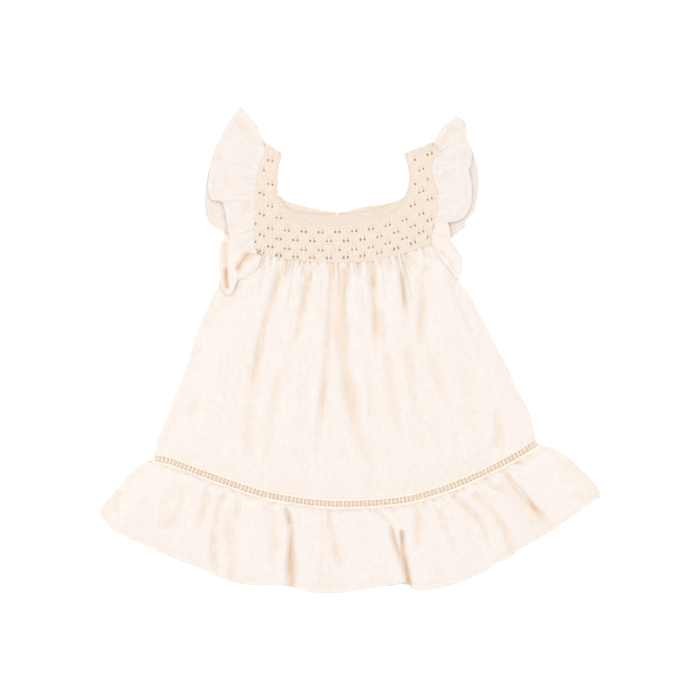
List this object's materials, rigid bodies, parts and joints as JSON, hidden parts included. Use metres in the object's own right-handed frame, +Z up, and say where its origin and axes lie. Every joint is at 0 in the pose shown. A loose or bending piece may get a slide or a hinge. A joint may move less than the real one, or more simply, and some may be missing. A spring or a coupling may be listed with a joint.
{
  "type": "toddler dress",
  "caption": "Toddler's summer dress laid flat: flutter sleeves, square-necked knitted yoke, gathered skirt, ladder trim and hem ruffle.",
  "frame": {"origin": "on the surface that the dress lies on, under the middle of its outline", "axes": "+Z up from the surface, towards the front of the dress; +Y from the hem to the neck; +X to the wearer's left"},
  "size_m": [0.5378, 0.5201, 0.0096],
  "materials": {
    "cloth": "washed slubby cotton, ivory, matt",
    "knit": "pointelle cotton knit, oatmeal, matt",
    "trim": "ladder trim of cotton thread, cream, matt"
  },
  "bodies": {
    "root": {"front_yoke": "knit", "back_yoke": "knit", "front_skirt": "cloth", "back_skirt": "cloth", "front_trim": "trim", "back_trim": "trim", "front_ruffle": "cloth", "back_ruffle": "cloth", "right_sleeve": "cloth", "left_sleeve": "cloth", "right_underarm_frill": "cloth", "left_underarm_frill": "cloth"}
  },
  "joints": []
}
